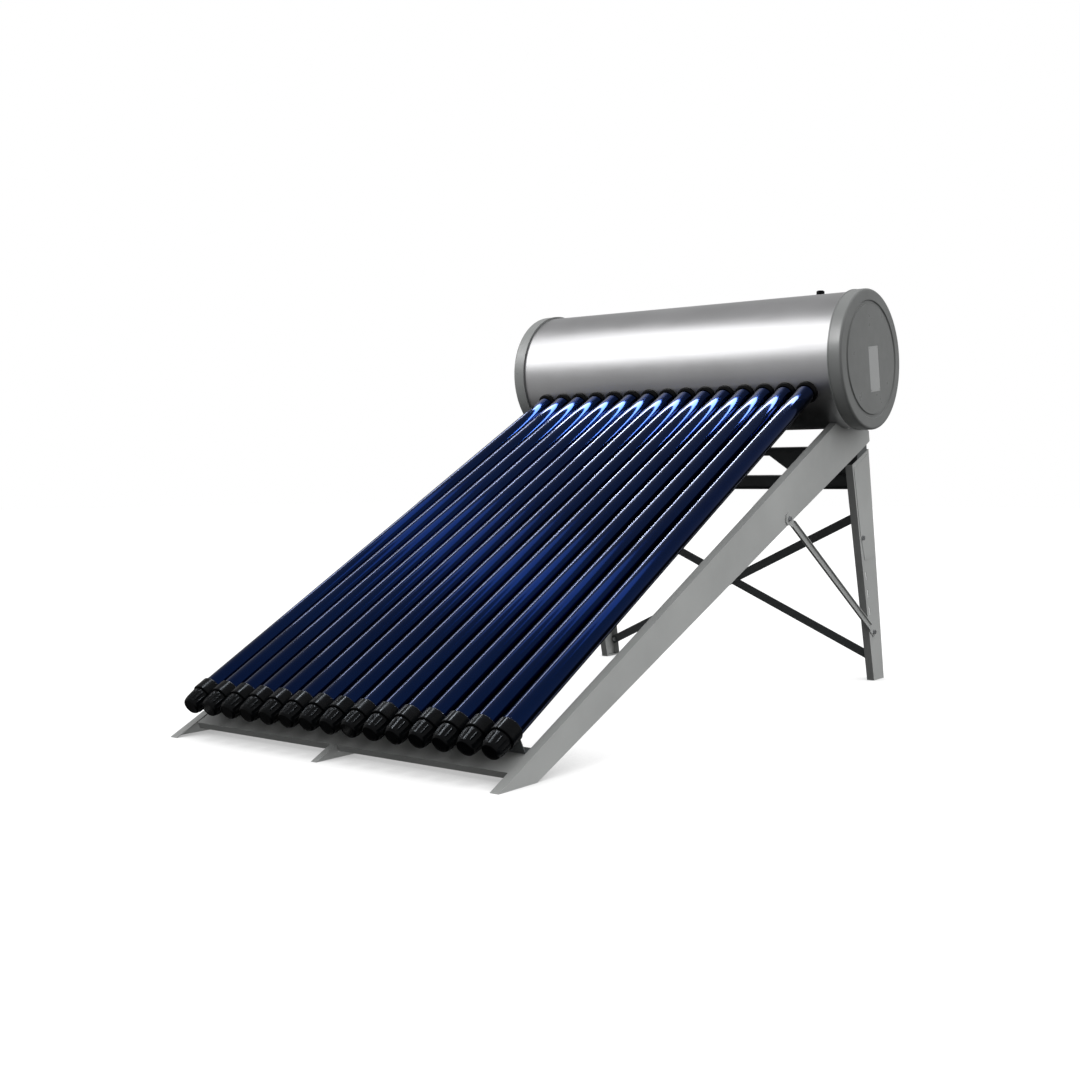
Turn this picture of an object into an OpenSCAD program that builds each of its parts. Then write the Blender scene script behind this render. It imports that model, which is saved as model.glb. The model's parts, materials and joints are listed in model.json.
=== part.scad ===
// Thermosyphon solar water heater: a bank of evacuated glass tubes under an insulated tank,
// on a tapered sheet-steel stand. Millimetres, +Z up, +X along the tank, +Y towards the back.

/* [Tubes] */
// Number of evacuated tubes
tube_count = 15; // [5:1:15]
// Distance between tube axes
tube_pitch = 75; // [72:1:80]
// Outer diameter of the outer glass
tube_d = 58; // [58:1:60]
// Length of a tube, mouth to domed end
tube_len = 1800; // [1790:5:1810]
// Wall of the outer glass
glass_t = 1.8; // [1.5:0.1:2.2]
// Outer diameter of the inner, coated glass
absorber_d = 47; // [44:1:48]
// Slope of the tubes from horizontal
tilt = 30; // [30:0.5:31]

/* [Bottom cups] */
// Length of the ribbed base below the collar
cup_base_len = 44; // [42:1:46]
// Radius of the ribbed base at its free end
cup_base_r = 24.5; // [23:0.5:26]
// Radius of the ribbed base under the collar
cup_top_r = 28.5; // [28:0.5:30]
// Number of grip ribs
cup_ribs = 16; // [12:1:24]
// Outer radius of the collar
collar_r = 33.5; // [33:0.5:35]
// Length of the collar
collar_len = 38; // [34:1:40]

/* [Tank] */
// Outer diameter of the shell
shell_d = 446; // [440:2:450]
// Sheet thickness of the shell and end caps
shell_t = 1.2; // [1:0.1:1.5]
// Outer diameter of the end caps
cap_d = 458; // [456:1:462]
// Depth of the end cap skirt
cap_skirt = 48; // [40:1:60]
// Length over the end caps
tank_len = 1320; // [1300:5:1340]
// Outer diameter of the inner water tank
inner_d = 360; // [350:2:366]
// Height of the tank axis above the ground
tank_z = 1076; // [1072:1:1080]

/* [Stand] */
// Overall depth, front foot to back foot
stand_depth = 2034; // [2030:1:2040]
// Distance over the outer faces of the side rails
stand_width = 1148; // [1140:2:1160]
// Sheet thickness of rails and legs
sheet_t = 2; // [1.5:0.5:2.5]
// Flange width of rails and legs
flange_w = 26; // [22:1:30]
// Slope of the rail's top flange
rail_slope = 27.5; // [27:0.1:28]
// Slope of the rail's lower edge
rail_under_slope = 24.5; // [24:0.1:25]
// Length of the rail's flat foot on the ground
rail_foot = 133; // [125:1:140]
// Lean of the back leg's front edge
leg_front_lean = 13; // [12.5:0.1:13.5]
// Lean of the back leg's rear edge
leg_back_lean = 8.8; // [8.5:0.1:9]
// Length of the back leg's foot on the ground
leg_foot = 81; // [76:1:86]

/* [Service travel] */
// Clearance between a sliding or turning piece and its neighbour
run_gap = 0.3; // [0.25:0.05:0.4]

/* [Hidden] */
$fn = 64;
two_digits = ["01", "02", "03", "04", "05", "06", "07", "08", "09", "10",
              "11", "12", "13", "14", "15"];

eps = 0.01;
frame_grey = [0.54, 0.55, 0.545];
back_grey = [0.28, 0.30, 0.31];
cap_grey = [0.46, 0.47, 0.465];
steel = [0.74, 0.75, 0.76];
black = [0.05, 0.055, 0.06];
navy = [0.02, 0.05, 0.22];

// Tank and tubes: s is the distance from the tank axis down a tube's axis
tube_r = tube_d / 2;
shell_r = shell_d / 2;
cap_r = cap_d / 2;
inner_r = inner_d / 2;
inner_t = 1.5;
tank_y = 1750;
mouth_depth = 28;
tube_top = inner_r - mouth_depth;
tube_end = tube_top + tube_len;
tube_tip_gap = 38;
cup_end = tube_end + tube_tip_gap;
ring_r = min(36.5, tube_pitch / 2 - 0.5);
shell_half = tank_len / 2 - 14;
foam_half = tank_len / 2 - 4;
inner_half = 600;

// Pipes and ports
nipple_r = 13.2;
nipple_bore = 9.5;
nipple_x = 450;
nipple_rise = 120;
nipple_reach = 240;
nipple_hex = 199;
vent_x = 476;
vent_r = 8;
vent_cap_r = 13.5;
anode_r = 10;
anode_len = 520;

// Stand
side_x = stand_width / 2;
foot_z = 3;
tray_front = 72;
tray_back = 163;
tray_t = 1.5;
tray_lip = 18;
cradle_p = 140;
rail_end_y = 1915;
strut_top = [1336, 566];
strut_foot = [1946, 166];
strut_eye_r = 20;
strut_w = 24;
doubler_bolt = [1862, 490];
anchor_x = side_x - 15;
anchor_r = 5.5;
bolt_r = 4;
bolt_gap = 0.25;

// Bars on the back plane: x across, w up the legs' rear edge
bar_n = -sheet_t;
bar_t = 2.5;
low_bar_w = 664;
low_bar_h = 48;
high_bar_w = 781;
high_bar_h = 30;
brace_w = 30;
brace_t = 4;
brace_low = 62;
brace_high = 588;
bolt_x = side_x - 14;

function tube_x(i) = (i - (tube_count - 1) / 2) * tube_pitch;
// Points on the rail's top line by y and by the distance p up it, on its lower line and the leg's edges
function on_rail_top(y) = [y, y * tan(rail_slope)];
function along_rail(p) = p * [cos(rail_slope), sin(rail_slope)];
function on_rail_under(y) = [y, (y - rail_foot) * tan(rail_under_slope)];
function on_leg_front(z) = [stand_depth - leg_foot - z * tan(leg_front_lean), z];
function on_leg_back(z) = [stand_depth - z * tan(leg_back_lean), z];

module place() translate([0, -stand_depth / 2, 0]) children();
// Children along tube i, +Z down the slope from the tank axis
module on_tube(i) place() translate([tube_x(i), tank_y, tank_z]) rotate([90 + tilt, 0, 0]) children();
// Children on the bottom cup of tube i, +Z up the slope from the cup's free end
module on_cup(i) on_tube(i) translate([0, 0, cup_end]) rotate([180, 0, 0]) children();
// Children along the tank, +Z along +X from the tank's middle
module on_tank() place() translate([0, tank_y, tank_z]) rotate([90, 0, 90]) children();
// Children on the plane of the rails' top flanges, +Y up the slope, +Z out of it
module on_slope() place() rotate([rail_slope, 0, 0]) children();
// Children on the back plane of the legs, +Z up the legs, +Y backwards
module on_back() place() translate([0, stand_depth, 0]) rotate([leg_back_lean, 0, 0]) children();
// An outline in Y and Z, given as a plate from x0 to x1
module plate(points, x0, x1) place() translate([x0, 0, 0]) rotate([90, 0, 90])
    linear_extrude(x1 - x0) polygon(points);
// An outline in x and w on the back plane, from n0 to n1 behind it
module back_plate(points, n0, n1) on_back() translate([0, n1, 0]) rotate([90, 0, 0])
    linear_extrude(n1 - n0) polygon(points);
module ring(r_out, r_in, h) difference() {
    cylinder(h = h, r = r_out);
    translate([0, 0, -1]) cylinder(h = h + 2, r = r_in);
}
module sides() {
    children();
    mirror([1, 0, 0]) children();
}
module tubes_all() for (i = [0 : tube_count - 1]) on_tube(i) children();
module cups_all() for (i = [0 : tube_count - 1]) on_cup(i) children();

// ---- Evacuated tube: outer glass and coated inner glass, joined at the mouth
module capsule(r, top, end) {
    translate([0, 0, top]) cylinder(h = end - r - top, r = r);
    translate([0, 0, end - r]) sphere(r = r);
}
module evacuated_tube(i) color(navy) on_tube(i) {
    difference() {
        capsule(tube_r, tube_top, tube_end);
        capsule(tube_r - glass_t, tube_top - 1, tube_end - glass_t);
    }
    absorber_end = tube_end - 28;
    difference() {
        union() {
            capsule(absorber_d / 2, tube_top, absorber_end);
            translate([0, 0, tube_top]) cylinder(h = 5, r = tube_r - glass_t - 0.2);
        }
        capsule(absorber_d / 2 - glass_t, tube_top - 1, absorber_end - glass_t);
    }
}

// ---- Bottom cup: the ribbed base turns in the collar and carries the tube's end on a pad
module cup_base(i) color(black) on_cup(i) {
    edge = 4;
    neck = 9;
    neck_r = cup_top_r - 0.7;
    neck_bore = neck_r - 1.6;
    rib_from = 8;
    rib_len = cup_base_len - 13;
    rib_t = 2.6;
    rib_proud = 1.8;
    difference() {
        union() {
            cylinder(h = edge, r1 = cup_base_r - 3, r2 = cup_base_r);
            translate([0, 0, edge]) cylinder(h = cup_base_len - edge, r1 = cup_base_r, r2 = cup_top_r);
            translate([0, 0, cup_base_len - eps]) cylinder(h = neck, r = neck_r);
            flare = atan((cup_top_r - cup_base_r) / (cup_base_len - edge));
            rib_r = cup_base_r + (rib_from - edge) * tan(flare) - 1;
            for (a = [0 : 360 / cup_ribs : 359])
                rotate([0, 0, a]) translate([rib_r, -rib_t / 2, rib_from]) rotate([0, flare, 0])
                    cube([1 + rib_proud, rib_t, rib_len]);
        }
        translate([0, 0, 5]) cylinder(h = cup_base_len - 5 + eps, r1 = cup_base_r - 4, r2 = neck_bore);
        translate([0, 0, cup_base_len]) cylinder(h = neck + 1, r = neck_bore);
    }
    difference() {
        translate([0, 0, 5.2]) cylinder(h = tube_tip_gap - 2, r = cup_base_r - 5);
        translate([0, 0, tube_tip_gap + tube_r]) sphere(r = tube_r + run_gap);
    }
}
module cup_collars() color([0.09, 0.1, 0.11]) cups_all() {
    low = cup_base_len + 2;
    lip = 2;
    difference() {
        union() {
            translate([0, 0, low]) cylinder(h = lip, r1 = collar_r - 1.2, r2 = collar_r);
            translate([0, 0, low + lip]) cylinder(h = collar_len - 2 * lip, r = collar_r);
            translate([0, 0, low + collar_len - lip]) cylinder(h = lip, r1 = collar_r, r2 = collar_r - 1.2);
        }
        translate([0, 0, low - 1]) cylinder(h = 10, r = cup_top_r - 0.7 + run_gap);
        translate([0, 0, low + 9 - eps]) cylinder(h = collar_len, r = tube_r + run_gap);
    }
}

// ---- Rings and seals round each tube at the tank
module dust_rings() color(black) difference() {
    bore = tube_r + run_gap;
    low = shell_r - 12;
    tubes_all() rotate_extrude()
        polygon([[bore, low], [ring_r, low], [ring_r, shell_r + 6], [ring_r - 2.5, shell_r + 10],
                 [ring_r - 5, shell_r + 12], [bore, shell_r + 12]]);
    on_tank() translate([0, 0, -tank_len / 2]) cylinder(h = tank_len, r = shell_r + 0.1, $fn = 256);
}
module tube_seals() color([0.75, 0.3, 0.2]) tubes_all() {
    groove = inner_r - inner_t - 3.5;
    difference() {
        union() {
            translate([0, 0, groove - 4]) cylinder(h = 4, r = 35);
            translate([0, 0, groove - eps]) cylinder(h = 6, r = tube_r + 2.2);
            translate([0, 0, inner_r + 0.4]) cylinder(h = 4, r = 35);
        }
        translate([0, 0, groove - 5]) cylinder(h = 20, r = tube_r + run_gap);
    }
}

// ---- Tank
// Children at the cold inlet, low on the right, and the hot outlet, high on the left
module at_nipples() for (side = [-1, 1])
    place() translate([side * nipple_x, tank_y, tank_z - side * nipple_rise])
        rotate([-90, 0, 0]) children();
module nipple_bores(r) at_nipples() cylinder(h = 300, r = r);
module vent_bore(r) place() translate([vent_x, tank_y, tank_z]) cylinder(h = 400, r = r);

module outer_shell() color(steel) difference() {
    on_tank() translate([0, 0, -shell_half]) ring(shell_r, shell_r - shell_t, 2 * shell_half);
    tubes_all() translate([0, 0, shell_r - 40]) cylinder(h = 80, r = tube_r + 4);
    nipple_bores(nipple_r + 1);
    vent_bore(vent_r + 0.5);
}
// The inner tank's outline, a cylinder with dished heads, grown by g
module inner_body(g) {
    r = inner_r + g;
    h = inner_half + g;
    half = [[r * 0.55, h], [r * 0.86, h - 12], [r * 0.97, h - 27], [r, h - 45]];
    other = [for (k = [3 : -1 : 0]) [half[k][0], -half[k][1]]];
    rotate_extrude() polygon(concat([[0, h]], half, other, [[0, -h]]));
}
module insulation_foam() color([0.93, 0.87, 0.66]) difference() {
    on_tank() translate([0, 0, -foam_half]) cylinder(h = 2 * foam_half, r = shell_r - shell_t - 0.4);
    on_tank() inner_body(0.2);
    tubes_all() cylinder(h = 260, r = tube_r + 4);
    tubes_all() cylinder(h = inner_r + 6, r = 36);
    nipple_bores(nipple_r + 0.2);
    vent_bore(vent_r + 0.2);
    on_tank() translate([0, 0, -tank_len]) cylinder(h = tank_len, r = 22);
    end_recess();
    mirror([1, 0, 0]) end_recess();
}
// Room in the foam for the end cap's pressed groove
module end_recess() on_tank() translate([0, 0, tank_len / 2 - 9]) ring(195, 175, 20);
module inner_tank() color(steel) difference() {
    on_tank() inner_body(0);
    on_tank() inner_body(-inner_t);
    tubes_all() cylinder(h = inner_r + 20, r = tube_r + 2.4);
    nipple_bores(nipple_r - 2);
    vent_bore(vent_r - 2);
    on_tank() translate([0, 0, -tank_len]) cylinder(h = tank_len, r = 14);
}
module end_cap(plate_recess) on_tank() translate([0, 0, tank_len / 2]) difference() {
    wall = 3;
    round_r = 8;
    groove = [178, 192];
    slant = 3;
    groove_deep = 4;
    skin = 1.2;
    edge = [for (a = [0 : 15 : 90]) [cap_r - round_r + round_r * sin(a), round_r * cos(a) - round_r]];
    bead = [[cap_r, 4 - cap_skirt], [cap_r + 1, 4 - cap_skirt], [cap_r + 1, -cap_skirt]];
    inside = [[shell_r + 0.3, -cap_skirt], [shell_r + 0.3, -wall], [groove[1] + skin, -wall],
              [groove[1] + skin - slant, -groove_deep - 2], [groove[0] - skin + slant, -groove_deep - 2],
              [groove[0] - skin, -wall], [0, -wall]];
    front = [[0, 0], [groove[0], 0], [groove[0] + slant, -groove_deep], [groove[1] - slant, -groove_deep],
             [groove[1], 0]];
    rotate_extrude() polygon(concat(front, edge, bead, inside));
    if (plate_recess)
        translate([0, 0, -tank_len / 2]) at_rating_plate() translate([-38, -75, -0.1]) cube([76, 150, 10]);
}
module at_rating_plate() translate([20, -30, tank_len / 2 - 0.9]) rotate([0, 0, 8]) children();
module rating_plate() color([0.78, 0.79, 0.79]) on_tank() at_rating_plate() difference() {
    translate([-37, -74, 0]) cube([74, 148, 0.8]);
    for (sx = [-1, 1], sy = [-1, 1])
        translate([sx * 31, sy * 68, -1]) cylinder(h = 3, r = 1.8);
}

// ---- Vent, anode and pipe connections
module vent_pipe() color(steel) place() translate([vent_x, tank_y, tank_z]) {
    translate([0, 0, inner_r + 0.3]) ring(vent_r, vent_r - 2, shell_r - inner_r + 8);
}
module vent_cap() color(black) place() translate([vent_x, tank_y, tank_z + shell_r + 1.5]) {
    height = 13;
    difference() {
        union() {
            cylinder(h = height - 3, r = vent_cap_r);
            translate([0, 0, height - 3 - eps]) cylinder(h = 3, r1 = vent_cap_r, r2 = vent_cap_r - 3);
        }
        translate([0, 0, -1]) cylinder(h = 9, r = vent_r + run_gap);
    }
}
module anode_rod() color([0.62, 0.63, 0.65]) on_tank() {
    plug_x = -inner_half - 4;
    translate([0, 0, plug_x]) cylinder(h = anode_len, r = anode_r);
    translate([0, 0, plug_x - 2]) cylinder(h = 5, r = 20);
    translate([0, 0, plug_x - 14]) cylinder(h = 12 + eps, r = 15, $fn = 6);
}
module water_nipples() color([0.72, 0.6, 0.35]) {
    difference() {
        at_nipples() difference() {
            union() {
                translate([0, 0, 100]) cylinder(h = nipple_reach - 100, r = nipple_r);
                // Hexagon for the spanner, clear of the curved shell
                translate([0, 0, nipple_hex]) cylinder(h = 8, r = 17, $fn = 6);
            }
            cylinder(h = 300, r = nipple_bore);
        }
        on_tank() translate([0, 0, -inner_half]) cylinder(h = 2 * inner_half, r = inner_r + 0.1);
    }
}

// ---- Stand: tapered channels of bent sheet
module flange_strip(a, b, width, side) {
    dir = (b - a) / norm(b - a);
    inward = side * [-dir[1], dir[0]] * sheet_t;
    plate([a, b, b + inward, a + inward], side_x - width, side_x);
}
module above_ground() intersection() {
    children();
    translate([-1500, -1500, 0]) cube([3000, 3000, 2000]);
}
module rail() difference() {
    above_ground() {
        foot = [rail_foot, 0];
        under_end = on_rail_under(rail_end_y - 17);
        ear_low = [rail_end_y + 6, under_end[1] + 12];
        ear_top = [rail_end_y, tank_z - shell_r - 3];
        top = on_rail_top(tank_y + 10);
        plate([[0, 0], foot, under_end, ear_low, ear_top, top], side_x - sheet_t, side_x);
        flange_strip([-20, -20 * tan(rail_slope)], on_rail_top(tank_y - 70), flange_w, -1);
        flange_strip(foot, on_rail_under(rail_end_y - 100), flange_w, 1);
    }
    on_tank() translate([0, 0, -1000]) cylinder(h = 2000, r = shell_r + 0.4);
    x_bolt_bores();
}
module leg() difference() {
    leg_top_front = [on_leg_front(733)[0], 733];
    leg_top_back = [on_leg_back(789)[0], 789];
    union() {
        above_ground() {
            plate([on_leg_front(0), on_leg_back(0), leg_top_back, leg_top_front], side_x - sheet_t, side_x);
            flange_strip(on_leg_front(-20), leg_top_front, flange_w, -1);
            flange_strip(on_leg_back(-20), leg_top_back, flange_w, 1);
        }
        place() translate([side_x - flange_w, stand_depth - leg_foot + 1, 0])
            cube([flange_w - 1, leg_foot - 2, foot_z]);
    }
    x_bolt_bores();
    back_bolt_bores();
    place() translate([anchor_x, stand_depth - leg_foot / 2, -1]) cylinder(h = 10, r = anchor_r);
    // Slots for the height adjustment of the doubler
    for (z = [240, 300, 360])
        place() translate([side_x - 10, on_leg_front(z)[0] + 22, z])
            rotate([leg_front_lean, 0, 0]) slot(6, 30);
}
module slot(w, l) rotate([0, 90, 0]) {
    for (z = [-1, 1]) translate([z * (l - w) / 2, 0, 0]) cylinder(h = 20, r = w / 2);
    translate([-(l - w) / 2, -w / 2, 0]) cube([l - w, w, 20]);
}
// Flat sheet on the outer face of each leg, from its top down past the joint
module leg_doublers() color(frame_grey) difference() {
    inset = 9;
    low_front = on_leg_front(414) + [inset + 12, 0];
    low_back = on_leg_back(424) - [3, 0];
    top_back = on_leg_back(775) - [3, 0];
    top_front = on_leg_front(722) + [inset, 0];
    step = on_leg_front(505) + [inset, 0];
    sides() plate([low_front, low_back, top_back, top_front, step], side_x, side_x + 1.5);
    sides() x_bolt_bores();
}
// Inner plates that tie each leg to its rail
module leg_brackets() color(back_grey) sides()
    plate([[1822, 700], [1912, 700], [1896, 842], [1832, 818]], side_x - sheet_t - 3, side_x - sheet_t);
module strut() difference() {
    run = strut_foot - strut_top;
    length = norm(run);
    angle = atan2(run[1], run[0]);
    place() translate([side_x, strut_top[0], strut_top[1]]) rotate([angle, 0, 0]) {
        // Flat ends round the bolts
        rotate([0, 90, 0]) cylinder(h = 3, r = strut_eye_r);
        translate([0, length, 0]) rotate([0, 90, 0]) cylinder(h = 3, r = strut_w / 2 + 2);
        translate([0, 0, -strut_w / 2]) cube([3, length, strut_w]);
        // Folded lips of the bar between the flat ends
        for (z = [-strut_w / 2, strut_w / 2 - 2])
            translate([0, strut_eye_r + 8, z]) cube([8, length - 2 * strut_eye_r - 22, 2]);
    }
    x_bolt_bores();
}
// Short channel under the middle of the tray
module middle_foot() color(frame_grey) {
    web_x = -5;
    flange = 19;
    below = [sin(rail_slope), -cos(rail_slope)];
    // The web passes under the tray and round its front lip
    front = along_rail(tray_front - 1);
    behind_lip = along_rail(tray_front + tray_t + 1);
    back = along_rail(tray_back - 4);
    drop = (sheet_t + tray_t + 0.2) * below;
    under_lip = (tray_lip + 4.5) * below;
    fold = sheet_t * below;
    toe = along_rail(-20);
    above_ground() {
        plate([[0, 0], [rail_foot, 0], back + drop, behind_lip + drop, behind_lip + under_lip,
               front + under_lip, front], web_x - sheet_t, web_x);
        plate([toe, front, front + fold, toe + fold], web_x - flange, web_x);
    }
}

// ---- Bars across the back
module flat_bar(a, b, n0, n1, width) {
    dir = (b - a) / norm(b - a);
    half = width / 2 * [-dir[1], dir[0]];
    back_plate([a - half, b - half, b + half, a + half], n0, n1);
}
module cross_brace(sign, n1) color(back_grey) difference() {
    low = [-sign * bolt_x, brace_low];
    high = [sign * bolt_x, brace_high];
    past = 14 * (high - low) / norm(high - low);
    flat_bar(low - past, high + past, n1 - brace_t, n1, brace_w);
    back_bolt_bores();
    // Ends cut off upright, inside the legs
    sides() on_back() translate([side_x - sheet_t - 0.5, -50, -100]) cube([100, 100, 1000]);
}
module folded_bar(w0, height, lip) {
    x1 = side_x - sheet_t - 3.5;
    back_plate([[-x1, w0], [x1, w0], [x1, w0 + height], [-x1, w0 + height]], bar_n - bar_t, bar_n);
    for (w = lip)
        back_plate([[-x1, w], [x1, w], [x1, w + bar_t], [-x1, w + bar_t]], bar_n - 22, bar_n);
}
module upper_cross_beam() color(back_grey) difference() {
    folded_bar(high_bar_w, high_bar_h, [high_bar_w + high_bar_h - bar_t]);
    back_bolt_bores();
}
module lower_cross_bar() color(back_grey) difference() {
    folded_bar(low_bar_w, low_bar_h, [low_bar_w, low_bar_w + low_bar_h - bar_t]);
    back_bolt_bores();
}
module corner_gussets() color(back_grey) {
    n1 = bar_n - bar_t;
    low = low_bar_w + low_bar_h + 0.2;
    high = high_bar_w + 14;
    sides() back_plate([[176, high], [290, low], [547, low], [547, high]], n1 - 2, n1);
}

// ---- Tray and cradle under the cups
module tail_tray() color(frame_grey) difference() {
    on_slope() {
        wide = side_x - sheet_t - 0.5;
        lip_x = side_x - flange_w - 2;
        low = -sheet_t - 0.1 - tray_t;
        translate([-wide, tray_front, low]) cube([2 * wide, tray_back - tray_front, tray_t]);
        translate([-lip_x, tray_front, -tray_lip - 2]) cube([2 * lip_x, tray_t, tray_lip]);
        translate([-lip_x, tray_back - tray_t, -tray_lip + 4]) cube([2 * lip_x, tray_t, tray_lip - 6]);
    }
    tray_rivet_bores();
}
module tube_cradle() color([0.16, 0.17, 0.18]) difference() {
    wide = side_x - flange_w - 2;
    on_slope() {
        translate([-wide, cradle_p, -sheet_t]) cube([2 * wide, 2, 50]);
        translate([-wide, cradle_p, -sheet_t - 0.1]) cube([2 * wide, 20, 2]);
    }
    cups_all() translate([0, 0, 40]) cylinder(h = 60, r = collar_r + 0.2);
    tray_rivet_bores();
}

// ---- Fasteners: hexagon bolts with washers and nuts, and rivets in the tray
// Bolts through the side sheets: [y, z, distance of the head's face from the rail's outer face]
x_bolts = [concat(strut_top, 3), concat(strut_foot, 3), concat(doubler_bolt, 1.5)];
// Bolts through the back flanges: [x, w, n of the head's face, grip]
bar_grip = sheet_t + bar_t;
brace_mid = (brace_low + brace_high) / 2;
back_bolts = concat(
    [for (sx = [-1, 1], w = [low_bar_w + low_bar_h / 2, high_bar_w + 8]) [sx * bolt_x, w, 0, bar_grip]],
    [for (sx = [-1, 1]) [sx * bolt_x, sx < 0 ? brace_low : brace_high, 0, sheet_t + brace_t]],
    [for (sx = [-1, 1]) [sx * bolt_x, sx < 0 ? brace_high : brace_low, 0, sheet_t + 2 * brace_t + 0.2]],
    [[0, brace_mid, bar_n, 2 * brace_t + 0.2]]);
module bolt_bore() translate([0, 0, -20]) cylinder(h = 40, r = bolt_r + bolt_gap);
module at_x_bolt(b) place() translate([side_x + b[2], b[0], b[1]]) rotate([0, 90, 0]) children();
module at_back_bolt(b) on_back() translate([b[0], b[2], b[1]]) rotate([-90, 0, 0]) children();
module x_bolt_bores() for (b = x_bolts) at_x_bolt(b) bolt_bore();
module back_bolt_bores() for (b = back_bolts) at_back_bolt(b) bolt_bore();
// Head and washer on +Z, nut at the end of the grip
module bolt(grip) {
    translate([0, 0, 0.1]) cylinder(h = 1.2, r = 8);
    translate([0, 0, 1.3 - eps]) cylinder(h = 5, r = 7, $fn = 6);
    translate([0, 0, -grip - 9]) cylinder(h = grip + 10, r = bolt_r);
    translate([0, 0, -grip - 6.2]) cylinder(h = 6, r = 7, $fn = 6);
}
module spacer() translate([0, 0, -sheet_t - brace_t - 0.15]) ring(8, bolt_r + bolt_gap, brace_t + 0.1);
module tray_rivet_points() on_slope()
    for (x = [-420, -140, 140, 420]) translate([x, 150, 0]) children();
module tray_rivet_bores() tray_rivet_points() translate([0, 0, -20]) cylinder(h = 30, r = 2.7);
module frame_bolts() color([0.7, 0.71, 0.72]) {
    sides() for (b = x_bolts) at_x_bolt(b) bolt(b[2] + sheet_t);
    for (b = back_bolts) at_back_bolt(b) bolt(b[3]);
    // Brace b stands off the legs by the thickness of brace a
    for (k = [6, 7]) at_back_bolt(back_bolts[k]) spacer();
    tray_rivet_points() {
        translate([0, 0, -6]) cylinder(h = 7, r = 2.5);
        translate([0, 0, 0.1]) cylinder(h = 1.2, r = 5);
    }
}

cup_collars();
dust_rings();
tube_seals();
outer_shell();
insulation_foam();
inner_tank();
color(cap_grey) mirror([1, 0, 0]) end_cap(false);  // end_cap_left
color(cap_grey) end_cap(true);  // end_cap_right
rating_plate();
vent_pipe();
vent_cap();
anode_rod();
water_nipples();
color(frame_grey) mirror([1, 0, 0]) rail();  // rail_left
color(frame_grey) rail();  // rail_right
middle_foot();
color(frame_grey) mirror([1, 0, 0]) leg();  // leg_left
color(frame_grey) leg();  // leg_right
leg_doublers();
leg_brackets();
color(frame_grey) mirror([1, 0, 0]) strut();  // strut_left
color(frame_grey) strut();  // strut_right
cross_brace(1, bar_n);  // cross_brace_a
cross_brace(-1, bar_n - brace_t - 0.2);  // cross_brace_b
upper_cross_beam();
lower_cross_bar();
corner_gussets();
tail_tray();
tube_cradle();
frame_bolts();
for (i = [0 : tube_count - 1]) {
    evacuated_tube(i);
    cup_base(i);
}
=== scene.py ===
import json
import math

import bmesh
import bpy
from mathutils import Matrix, Vector


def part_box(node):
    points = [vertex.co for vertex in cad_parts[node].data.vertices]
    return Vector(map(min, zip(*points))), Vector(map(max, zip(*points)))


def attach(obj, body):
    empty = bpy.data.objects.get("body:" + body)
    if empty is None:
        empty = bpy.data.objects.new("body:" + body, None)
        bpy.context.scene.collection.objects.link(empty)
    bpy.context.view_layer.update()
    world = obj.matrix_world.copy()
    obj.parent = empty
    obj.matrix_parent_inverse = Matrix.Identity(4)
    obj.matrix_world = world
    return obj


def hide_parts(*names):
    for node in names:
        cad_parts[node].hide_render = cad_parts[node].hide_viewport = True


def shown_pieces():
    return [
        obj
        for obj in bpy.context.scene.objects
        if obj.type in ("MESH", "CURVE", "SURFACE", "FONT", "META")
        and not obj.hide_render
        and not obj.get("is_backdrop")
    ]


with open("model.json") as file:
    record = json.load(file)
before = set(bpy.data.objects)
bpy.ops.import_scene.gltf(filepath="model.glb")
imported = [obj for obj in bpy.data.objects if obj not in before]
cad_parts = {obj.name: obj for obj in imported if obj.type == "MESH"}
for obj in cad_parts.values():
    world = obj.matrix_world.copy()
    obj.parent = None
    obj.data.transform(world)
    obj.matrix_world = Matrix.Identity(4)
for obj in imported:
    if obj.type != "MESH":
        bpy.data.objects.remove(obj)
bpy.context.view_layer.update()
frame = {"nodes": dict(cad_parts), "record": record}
NODES = frame["nodes"]
TUBES = [f"{i:02d}" for i in range(1, 16)]


def middle(node):
    """The middle of a CAD node's box at rest."""
    low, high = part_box(node)
    return (low + high) / 2


# Lengths are metres in the part's frame: x along the tank, y to the back, z up.
# TANK is the middle of the tank's axis. The tubes run along DOWN from that axis, and LIFT is square to them.
SLOPE = math.radians(30)
DOWN = Vector((0, -math.cos(SLOPE), -math.sin(SLOPE)))
LIFT = Vector((0, -math.sin(SLOPE), math.cos(SLOPE)))
TANK = middle("outer_shell")
BANK_MIDDLE = Vector((0, -0.1, 0.6))

# Distances down a tube's axis from the tank's axis, and radii
TUBE_MOUTH = 0.152
TUBE_END = 1.952
TUBE_R = 0.029
BORE_END = 1.9222
BORE_R = 0.0217
CUP_END = 1.99

CUP_RIBS = 16
TUBE_SEGMENTS = 96
KNOB_SEGMENTS = 192
# An outline point with a smaller radius than this is a point on the axis
ON_AXIS = 1e-6

# Most values of a noise texture lie between these two
NOISE_LOW = 0.3
NOISE_HIGH = 0.7

WHITE = (1, 1, 1)
DUST = (0.09, 0.095, 0.1)


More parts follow.
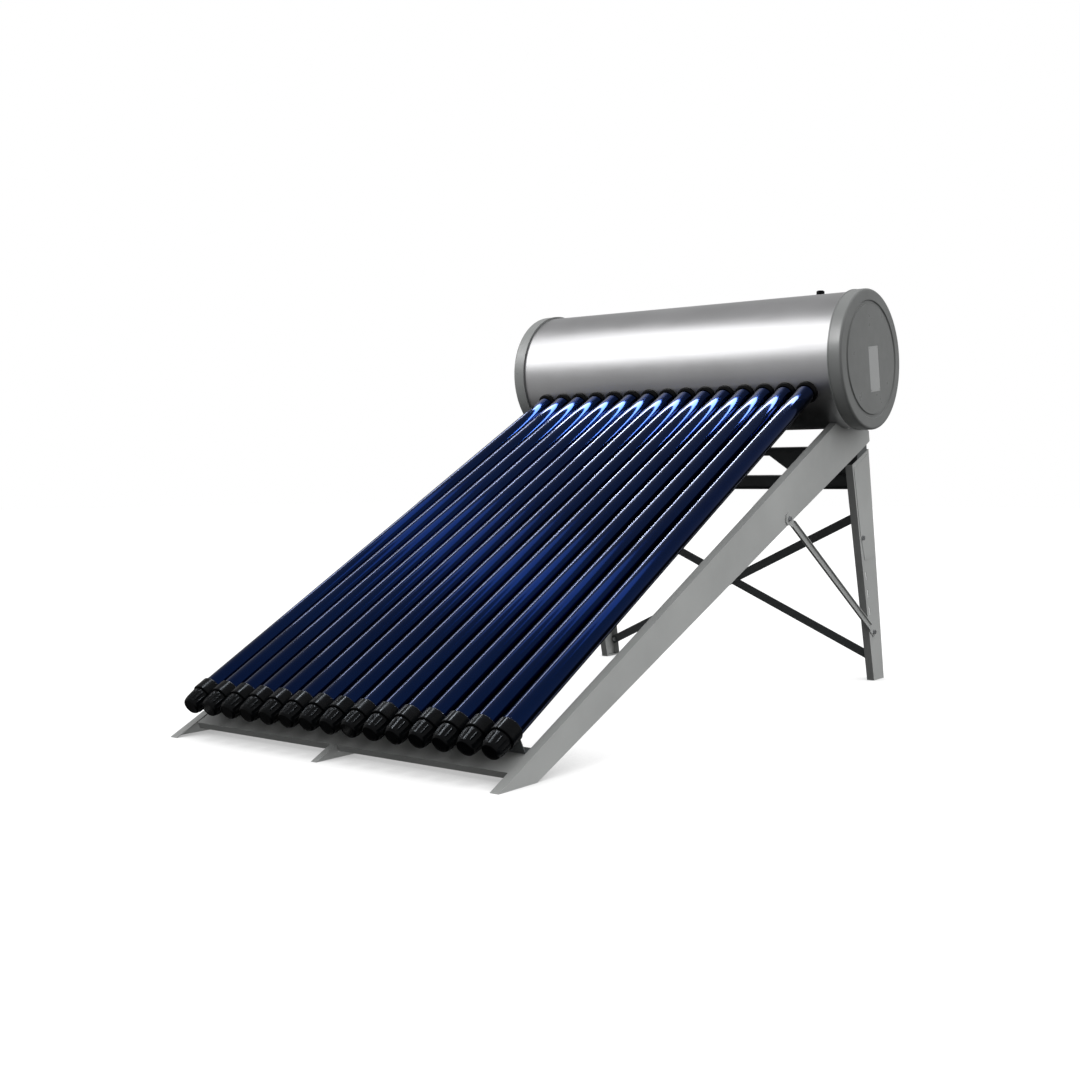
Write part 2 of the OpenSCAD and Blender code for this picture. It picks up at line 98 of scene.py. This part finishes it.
# ---------- shader nodes
class Nodes:
    """Short calls that build a tree of shader nodes."""

    def __init__(self, tree):
        self.tree = tree

    def node(self, kind, **settings):
        new = self.tree.nodes.new("ShaderNode" + kind)
        for key, value in settings.items():
            setattr(new, key, value)
        return new

    def feed(self, value, socket):
        """Link a node's output to the socket, or set the socket to a plain value."""
        if hasattr(value, "links"):
            self.tree.links.new(value, socket)
        elif socket.type == "RGBA":
            socket.default_value = (*value, 1)
        else:
            socket.default_value = value

    def maths(self, operation, a, b):
        new = self.node("Math", operation=operation)
        self.feed(a, new.inputs[0])
        self.feed(b, new.inputs[1])
        return new.outputs[0]

    def add(self, a, b):
        return self.maths("ADD", a, b)

    def times(self, a, b):
        return self.maths("MULTIPLY", a, b)

    def pick(self, switch, off, on):
        """The first value where the switch is 0, and the second where it is 1."""
        return self.add(self.times(off, self.maths("SUBTRACT", 1.0, switch)), self.times(on, switch))

    def span(self, value, low, high, to_low, to_high, curve="LINEAR"):
        """Map the range low to high onto the range to_low to to_high."""
        new = self.node("MapRange", interpolation_type=curve)
        names = ("Value", "From Min", "From Max", "To Min", "To Max")
        for name, number in zip(names, (value, low, high, to_low, to_high)):
            self.feed(number, new.inputs[name])
        return new.outputs["Result"]

    def ease(self, value, low, high, to_low, to_high):
        """The same as span, but with soft ends."""
        return self.span(value, low, high, to_low, to_high, "SMOOTHSTEP")


class Material(Nodes):
    """A material on the Principled shader, patterned by places on the object."""

    def __init__(self, name):
        self.block = bpy.data.materials.new(name)
        self.block.use_nodes = True
        super().__init__(self.block.node_tree)
        self.shader = self.tree.nodes["Principled BSDF"]
        self.place = self.node("TexCoord").outputs["Object"]

    def set(self, **values):
        for key, value in values.items():
            self.shader.inputs[key.replace("_", " ")].default_value = value

    def stretched(self, scale):
        new = self.node("Mapping")
        new.inputs["Scale"].default_value = scale
        self.feed(self.place, new.inputs["Vector"])
        return new.outputs["Vector"]

    def noise(self, scale, detail=3, roughness=0.55, place=None):
        new = self.node("TexNoise")
        new.inputs["Scale"].default_value = scale
        new.inputs["Detail"].default_value = detail
        new.inputs["Roughness"].default_value = roughness
        self.feed(place or self.place, new.inputs["Vector"])
        return new.outputs["Fac"]

    def spread(self, noise, to_low, to_high):
        """Map a noise onto a range of values."""
        return self.span(noise, NOISE_LOW, NOISE_HIGH, to_low, to_high)

    def ramp(self, noise, low_colour, high_colour, low=NOISE_LOW, high=NOISE_HIGH):
        """Map a noise onto the colours between two."""
        new = self.node("ValToRGB")
        stops = new.color_ramp.elements
        for stop, position, colour in zip(stops, (low, high), (low_colour, high_colour)):
            stop.position = position
            stop.color = (*colour, 1)
        self.feed(noise, new.inputs["Fac"])
        return new.outputs["Color"]

    def mix(self, share, base, over):
        """The base colour with a share of the other one. The Mix node's colours are its inputs 6 and 7."""
        new = self.node("Mix", data_type="RGBA")
        self.feed(share, new.inputs[0])
        self.feed(base, new.inputs[6])
        self.feed(over, new.inputs[7])
        return new.outputs[2]

    def bump(self, height, strength, distance):
        new = self.node("Bump")
        new.inputs["Strength"].default_value = strength
        new.inputs["Distance"].default_value = distance
        self.feed(height, new.inputs["Height"])
        return new.outputs["Normal"]

    def finished(self, colour, roughness=None, normal=None):
        """Connect the patterns to the shader and give the material."""
        for value, name in ((colour, "Base Color"), (roughness, "Roughness"), (normal, "Normal")):
            if value is not None:
                self.feed(value, self.shader.inputs[name])
        return self.block


# ---------- materials
def scaled(colour, factor):
    return tuple(value * factor for value in colour)


def paint(name, base, rough=0.42, dirt=0.12):
    """Powder coat: faint orange peel, uneven gloss, and paler worn specks."""
    m = Material(name)
    m.set(Specular_IOR_Level=0.45)
    patches = m.noise(scale=3.2, detail=4)
    specks = m.noise(scale=140)
    peel = m.noise(scale=900, detail=2, roughness=0.5)
    colour = m.ramp(patches, scaled(base, 1 - dirt), scaled(base, 1 + dirt / 2))
    colour = m.mix(m.span(specks, 0.6, 0.85, 0, 0.2), colour, scaled(base, 1.25))
    gloss = m.spread(m.noise(scale=22, detail=4), rough - 0.07, rough + 0.08)
    return m.finished(colour, gloss, m.bump(peel, strength=0.12, distance=0.0004))


def steel(name, base, rough, streak_axis):
    """Rolled sheet with fine streaks along one axis and a little smudging."""
    m = Material(name)
    m.set(Metallic=1.0)
    fineness = [900, 900, 900]
    fineness[streak_axis] = 6
    streaks = m.noise(scale=1, detail=4, roughness=0.6, place=m.stretched(fineness))
    smudges = m.noise(scale=5, detail=4)
    colour = m.ramp(smudges, scaled(base, 0.93), base)
    gloss = m.add(m.spread(streaks, rough - 0.05, rough + 0.05), m.spread(smudges, -0.03, 0.03))
    return m.finished(colour, gloss, m.bump(streaks, strength=0.05, distance=0.0002))


def plastic(name, base, rough, grain=1200, strength=0.15, scuff=0.06, gloss=0.5):
    """Moulded plastic, rubber or foam: fine grain, with dull dusty scuffs."""
    m = Material(name)
    m.set(Specular_IOR_Level=gloss)
    broad = m.noise(scale=30, detail=4)
    colour = m.mix(m.span(broad, 0.55, 0.8, 0, scuff), base, DUST)
    uneven = m.spread(broad, rough - 0.08, rough + 0.12)
    return m.finished(colour, uneven, m.bump(m.noise(grain, detail=2), strength, distance=0.0003))


def tube_glass(name):
    """Coated glass: a navy mirror under a thin clear gloss, with faint dust."""
    m = Material(name)
    m.set(Metallic=1.0, Coat_Weight=0.2, Coat_Roughness=0.02, Coat_IOR=1.5)
    navy, paler_navy, dusty_blue = (0.002, 0.016, 0.085), (0.003, 0.021, 0.105), (0.05, 0.08, 0.16)
    colour = m.ramp(m.noise(scale=2.5), navy, paler_navy, low=0.35, high=0.65)
    dust = m.noise(scale=90, detail=4)
    colour = m.mix(m.span(dust, 0.66, 0.85, 0, 0.02), colour, dusty_blue)
    return m.finished(colour, m.spread(m.noise(scale=12), 0.1, 0.13))


MATERIALS = {
    "tube_glass": tube_glass("tube_glass_look"),
    "black_plastic": plastic("black_plastic_look", (0.002, 0.0024, 0.003), rough=0.2,
                             strength=0.05, scuff=0.02, gloss=0.16),
    "black_rubber": plastic("black_rubber_look", (0.003, 0.003, 0.0034), rough=0.4, scuff=0.03, gloss=0.2),
    "silicone": plastic("silicone_look", (0.4, 0.07, 0.03), rough=0.5),
    "stainless": steel("stainless_look", (0.62, 0.62, 0.63), rough=0.38, streak_axis=0),
    "foam": plastic("foam_look", (0.7, 0.58, 0.3), rough=0.8, grain=400, strength=0.6),
    "inner_steel": steel("inner_steel_look", (0.55, 0.56, 0.57), rough=0.35, streak_axis=0),
    "cap_paint": paint("cap_paint_look", (0.148, 0.153, 0.151), rough=0.34),
    "plate": paint("plate_look", (0.3, 0.305, 0.305), rough=0.35, dirt=0.05),
    "anode": steel("anode_look", (0.4, 0.41, 0.43), rough=0.5, streak_axis=0),
    "brass": steel("brass_look", (0.6, 0.42, 0.16), rough=0.3, streak_axis=1),
    "frame_paint": paint("frame_paint_look", (0.345, 0.353, 0.348)),
    # A darker copy of the frame's grey powder coat for the parts at the back: painted shade, for where they
    # stand in shadow.
    "back_paint": paint("back_paint_painted_shade_look", (0.085, 0.092, 0.094), rough=0.45),
    "zinc": steel("zinc_look", (0.5, 0.51, 0.53), rough=0.35, streak_axis=2),
}
SLOT = {part["node"]: part["material_slot"] for part in frame["record"]["subparts"]}
for name, node in NODES.items():
    for slot in node.material_slots:
        slot.material = MATERIALS[SLOT[name]]


# ---------- tubes and cups, drawn smooth in place of the faceted ones
def placed(name, data):
    """A new object in the scene."""
    new = bpy.data.objects.new(name, data)
    bpy.context.scene.collection.objects.link(new)
    return new


def ring(mesh, x, segments, s, r, rib=0.0):
    """Points round the axis of the tube at x, at s down it: at radius r, or out to rib more on a rib."""
    centre = Vector((x, TANK.y, TANK.z)) + DOWN * s
    if r < ON_AXIS:
        return [mesh.verts.new(centre)]
    side, out = Vector((1, 0, 0)), -LIFT
    points = []
    for k in range(segments):
        turn = 2 * math.pi * k / segments
        reach = r + rib * max(0.0, math.cos(CUP_RIBS * turn)) ** 1.5
        points.append(mesh.verts.new(centre + reach * (math.cos(turn) * side + math.sin(turn) * out)))
    return points


def lathe(name, outline, x, segments):
    """A smooth skin on the rings of an outline [(s, r), ...] or [(s, r, rib), ...], sharp past 40 degrees."""
    mesh = bmesh.new()
    rings = [ring(mesh, x, segments, *point) for point in outline]
    for a, b in zip(rings, rings[1:]):
        for k in range(segments):
            n = (k + 1) % segments
            corners = [a[k % len(a)], a[n % len(a)], b[n % len(b)], b[k % len(b)]]
            mesh.faces.new(list(dict.fromkeys(corners)))
    bmesh.ops.recalc_face_normals(mesh, faces=mesh.faces)
    for face in mesh.faces:
        face.smooth = True
    data = bpy.data.meshes.new(name)
    mesh.to_mesh(data)
    mesh.free()
    data.set_sharp_from_angle(angle=math.radians(40))
    return placed(name, data)


def arc(s, r, radius, start, end, steps):
    """Outline points on an arc about (s, r): 0 degrees points along s, and 90 points outwards."""
    angles = [math.radians(start + (end - start) * k / steps) for k in range(steps + 1)]
    return [(s + radius * math.cos(angle), r + radius * math.sin(angle)) for angle in angles]


def tube_outline():
    """Glass from the bottom of the bore, up to the mouth, over its rolled rim and down to the dome.

    The points between the ends keep the ends' shading out of the straight stretches."""
    lip = (TUBE_R - BORE_R) / 2
    straight = (0.4, 0.8, 1.2, 1.6)
    outline = arc(BORE_END - BORE_R, 0, BORE_R, 0, 90, 10)
    outline += [(s, BORE_R) for s in reversed(straight)]
    outline += arc(TUBE_MOUTH + lip, BORE_R + lip, lip, -90, -270, 10)
    outline += [(s, TUBE_R) for s in (0.2, *straight, 1.9)]
    outline += arc(TUBE_END - TUBE_R, 0, TUBE_R, 90, 0, 12)
    return outline


def pad_outline():
    """The pad inside a cup, from the middle of the hollow that the tube's dome sits in to its foot."""
    seat_r, seat_h = 0.0293, 0.067
    pad_r, pad_h, foot_h, bevel = 0.0195, 0.0412, 0.0052, 0.001
    edge = math.degrees(math.acos((seat_h - pad_h) / seat_r))
    outline = arc(seat_h, 0, seat_r, 180, 180 - edge, 6)
    outline += [(pad_h, pad_r - bevel), (pad_h - bevel, pad_r), (foot_h, pad_r)]
    return outline


def neck_outline(shoulder_h, shoulder_r):
    """The cup's wall, from its floor up the inside and over the neck's end to the shoulder outside."""
    floor_h, floor_r, bevel = 0.005, 0.0205, 0.0004
    neck_top, neck_bore, neck_r = 0.053, 0.0262, 0.0278
    outline = [(floor_h, floor_r), (shoulder_h, neck_bore), (neck_top - bevel, neck_bore)]
    outline += [(neck_top, neck_bore + bevel), (neck_top, neck_r - bevel), (neck_top - bevel, neck_r)]
    outline += [(shoulder_h + bevel, neck_r), (shoulder_h, neck_r + bevel)]
    outline += [(shoulder_h - bevel, shoulder_r), (shoulder_h - 0.0015, shoulder_r)]
    return outline


def grip_outline():
    """The ribbed cone under the shoulder. The ribs stand on all of it but its two ends."""
    top_h, low_h, steps, rib_proud = 0.0405, 0.0075, 8, 0.0018
    edge_h, edge_r, flare = 0.004, 0.0245, 0.1
    heights = [top_h + (low_h - top_h) * k / steps for k in range(steps + 1)]
    return [(h, edge_r + flare * (h - edge_h), rib_proud if low_h < h < top_h else 0.0) for h in heights]


def free_end_outline():
    """The rounded edge and shallow dish of the cup's free end."""
    edge = [(0.0045, 0.0246), (0.0036, 0.0242), (0.0006, 0.0218), (0, 0.021)]
    dish_deep, dish_r, bevel = 0.0012, 0.0186, 0.001
    return edge + [(0, dish_r + bevel), (dish_deep, dish_r), (dish_deep, 0)]


def cup_outline():
    """The turning base of a bottom cup. Its sections give heights from the free end, not s."""
    sections = pad_outline() + neck_outline(0.044, 0.0285) + grip_outline() + free_end_outline()
    return [(CUP_END - h, *rest) for h, *rest in sections]


for k in TUBES:
    x = middle(f"tube_{k}").x
    knob = lathe(f"cup_knob_{k}", cup_outline(), x, KNOB_SEGMENTS)
    knob.data.materials.append(MATERIALS["black_plastic"])
    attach(knob, f"cup_{k}")
    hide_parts(f"cup_base_{k}")
    glass = lathe(f"tube_glass_{k}", tube_outline(), x, TUBE_SEGMENTS)
    glass.data.materials.append(MATERIALS["tube_glass"])
    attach(glass, f"tube_{k}")
    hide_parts(f"tube_{k}")


# ---------- camera
def photo_camera():
    """The photograph's camera. Its angles are radians: yaw from straight ahead, pitch down, and roll."""
    place = (2.42011, -3.16175, 0.674516)
    yaw, pitch, roll = 0.59992988, -0.00107679, -0.00190883
    ahead = Vector((-math.sin(yaw) * math.cos(pitch), math.cos(yaw) * math.cos(pitch), -math.sin(pitch)))
    right = ahead.cross(Vector((0, 0, 1))).normalized()
    up = right.cross(ahead)
    rolled_right = math.cos(roll) * right + math.sin(roll) * up
    rolled_up = math.cos(roll) * up - math.sin(roll) * right
    data = bpy.data.cameras.new("camera")
    data.sensor_width = 36
    data.lens = 43.218
    data.shift_x = -0.09463
    data.shift_y = -0.05387
    camera = placed("camera", data)
    turned = Matrix((rolled_right, rolled_up, -ahead)).transposed().to_4x4()
    camera.matrix_world = Matrix.Translation(place) @ turned
    return camera


bpy.context.scene.camera = photo_camera()


# ---------- floor and world
def pale_floor():
    """A floor that glows almost white, with a painted shadow where it glows less close to the object, which
    it neither lights nor is reflected in.
    """
    half, drop = 30, 0.0005
    corners = [(-half, -half, 0), (half, -half, 0), (half, half, 0), (-half, half, 0)]
    data = bpy.data.meshes.new("floor")
    data.from_pydata(corners, [], [(0, 1, 2, 3)])
    floor = placed("floor", data)
    floor.location.z = -drop
    floor.visible_glossy = False
    floor.visible_diffuse = False
    m = Material("floor_look")
    m.set(Roughness=0.75, Specular_IOR_Level=0.1, Emission_Color=(*WHITE, 1))
    # Ambient occlusion dims the floor's glow close to the object: a painted contact shadow.
    contact_shadow = m.node("AmbientOcclusion", samples=8)
    contact_shadow.inputs["Distance"].default_value = 0.3
    m.feed(m.span(contact_shadow.outputs["AO"], 0.1, 0.85, 0.36, 0.96), m.shader.inputs["Emission Strength"])
    data.materials.append(m.finished(m.ramp(m.noise(scale=2), scaled(WHITE, 0.1), scaled(WHITE, 0.11))))
    return floor


floor = pale_floor()
floor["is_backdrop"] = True


def fill_level(w, x, y, z):
    """Soft fill on the object: strongest from above and from the right, weak from the front."""
    base = w.ease(z, -0.6, 0.1, 0.12, 0.5)
    above = w.times(w.maths("MAXIMUM", z, 0.0), 2.1)
    right = w.times(w.maths("MAXIMUM", x, 0.0), w.ease(z, -0.5, 0.1, 0.1, 1.1))
    return w.times(w.add(w.add(base, above), right), w.ease(y, -0.5, 0.2, 0.3, 1.0))


def mirror_level(w, y, z):
    """What reflections see: an even sky, and a ground that is lit in front and dark behind and underfoot."""
    sky = w.ease(z, 0.0, 0.9, 0.36, 0.3)
    ground = w.times(w.ease(y, -0.35, 0.05, 0.34, 0.02), w.ease(z, -0.75, -0.3, 0.03, 1.0))
    above_horizon = w.ease(z, -0.06, 0.02, 0.0, 1.0)
    return w.pick(above_horizon, ground, sky)


def studio_world():
    """A world that is white behind the object, with its own fill and its own reflections."""
    world = bpy.data.worlds.new("world")
    world.use_nodes = True
    w = Nodes(world.node_tree)
    way = w.node("SeparateXYZ")
    w.feed(w.node("TexCoord").outputs["Generated"], way.inputs[0])
    x, y, z = way.outputs
    ray = w.node("LightPath").outputs
    level = w.pick(ray["Is Camera Ray"], fill_level(w, x, y, z), 1.0)
    level = w.pick(ray["Is Glossy Ray"], level, mirror_level(w, y, z))
    background = w.tree.nodes["Background"]
    w.feed(level, background.inputs["Strength"])
    w.feed(WHITE, background.inputs["Color"])
    return world


bpy.context.scene.world = studio_world()


# ---------- lights
def area(name, place, target, size, power, colour=WHITE, diffuse=True, along=None):
    """A lamp that the camera doesn't see. Its length can be turned to run along a direction."""
    data = bpy.data.lights.new(name, "AREA")
    data.shape = "RECTANGLE"
    data.size, data.size_y = size
    data.energy = power
    data.color = colour
    lamp = placed(name, data)
    lamp.location = place
    facing = target - place
    lamp.rotation_euler = facing.to_track_quat("-Z", "Y").to_euler()
    if along is not None:
        side = along.cross(-facing.normalized()).normalized()
        lamp.rotation_euler = Matrix((side, along, side.cross(along))).transposed().to_euler()
    lamp.visible_camera = False
    lamp.visible_diffuse = diffuse
    return lamp


def lit_by(light, objects):
    """The light falls on these objects alone."""
    group = bpy.data.collections.new(light.name + "_lit")
    for lit in objects:
        group.objects.link(lit)
    light.light_linking.receiver_collection = group


BLUISH = (0.85, 0.92, 1.0)
BANK = [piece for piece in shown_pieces() if piece.name.startswith(("tube_glass_", "cup_"))]
GLASS = [piece for piece in BANK if piece.name.startswith("tube_glass_")]
CUPS = [piece for piece in BANK if piece.name.startswith("cup_")]
END_CAPS = [NODES["end_cap_left"], NODES["end_cap_right"]]
UP_TOP = [NODES["outer_shell"], *END_CAPS, NODES["rating_plate"], NODES["vent_cap"]]

# The highlight along the tank, and the light on its end caps
key = area("key", Vector((-2.4, -2.52, 4.0)), Vector((0, 0.73, 1.08)), size=(4.2, 4.2), power=126)
lit_by(key, UP_TOP)
rim = area("rim", Vector((-2.3, -2.9, 3.9)), Vector((0.6, 0.7, 1.08)), size=(2.4, 1.7), power=200)
lit_by(rim, END_CAPS)

# A faint blue band across the bank, and the strip whose reflection is the line along each tube
band = area("band", Vector((0, 0.36, 4.5)), BANK_MIDDLE, size=(4.5, 0.5), power=9,
            colour=(0.35, 0.6, 1.0), diffuse=False)
lit_by(band, BANK)
STRIP_PLACE = Vector((-2.4, 1.55, 2.9))
STRIP_ALONG = Vector((1.2, 2.9, 1.35)).normalized()
strip = area("strip", STRIP_PLACE, BANK_MIDDLE, size=(0.3, 3.4), power=20,
             colour=(0.86, 0.92, 1.0), diffuse=False, along=STRIP_ALONG)
lit_by(strip, BANK)

# A glow between the tank's underside and the tops of the tubes
eaves = area("eaves", TANK + DOWN * 0.2 + LIFT * 0.122, TANK + DOWN * 0.34, size=(1.14, 0.035), power=3.2,
             colour=BLUISH, diffuse=False)
lit_by(eaves, GLASS)

# The shadow on the floor
sun_data = bpy.data.lights.new("floor_sun", "SUN")
sun_data.energy = 2.0
sun_data.angle = math.radians(16)
sun = placed("floor_sun", sun_data)
lit_by(sun, [floor])

# The middle of the strip is brighter, so the lines flare where the band falls
flare = area("flare", STRIP_PLACE, BANK_MIDDLE, size=(0.3, 0.7), power=45,
             colour=(0.9, 0.95, 1.0), diffuse=False, along=STRIP_ALONG)
lit_by(flare, BANK)

# Lines on the cups' ribs
ribs = area("ribs", Vector((-0.9, -1.0, 2.96)), Vector((0, -1.0, 0.1)), size=(1.2, 0.2), power=26,
            colour=BLUISH, diffuse=False)
lit_by(ribs, CUPS)

bpy.context.scene.view_settings.view_transform = "Standard"
